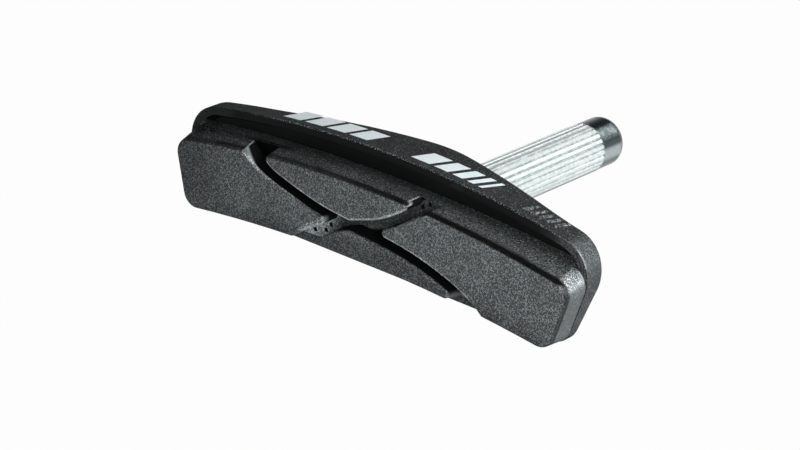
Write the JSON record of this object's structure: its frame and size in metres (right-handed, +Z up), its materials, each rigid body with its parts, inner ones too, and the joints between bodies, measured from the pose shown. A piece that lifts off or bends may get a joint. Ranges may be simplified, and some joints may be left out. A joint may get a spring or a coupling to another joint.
{
  "type": "rim brake pad",
  "caption": "Arched bicycle rim brake pad: a rubber block with curved crossing grooves in its friction face, and a fluted steel post on its humped back for a brake arm's clamp.",
  "frame": {"origin": "on the axis of the post, where its fluted shank begins close behind the back of the pad", "axes": "+X along the pad, towards the end nearer the post; +Y along the post, away from the wheel's rim; +Z up, towards the outside of the pad's arch"},
  "size_m": [0.0666, 0.0467, 0.0167],
  "materials": {
    "rubber": "matt black, fine moulded grain",
    "strip_steel": "plain stamped steel",
    "post_steel": "bright zinc plate"
  },
  "bodies": {
    "root": {"pad_body": "rubber", "backing_strip": "strip_steel", "post": "post_steel"}
  },
  "joints": []
}
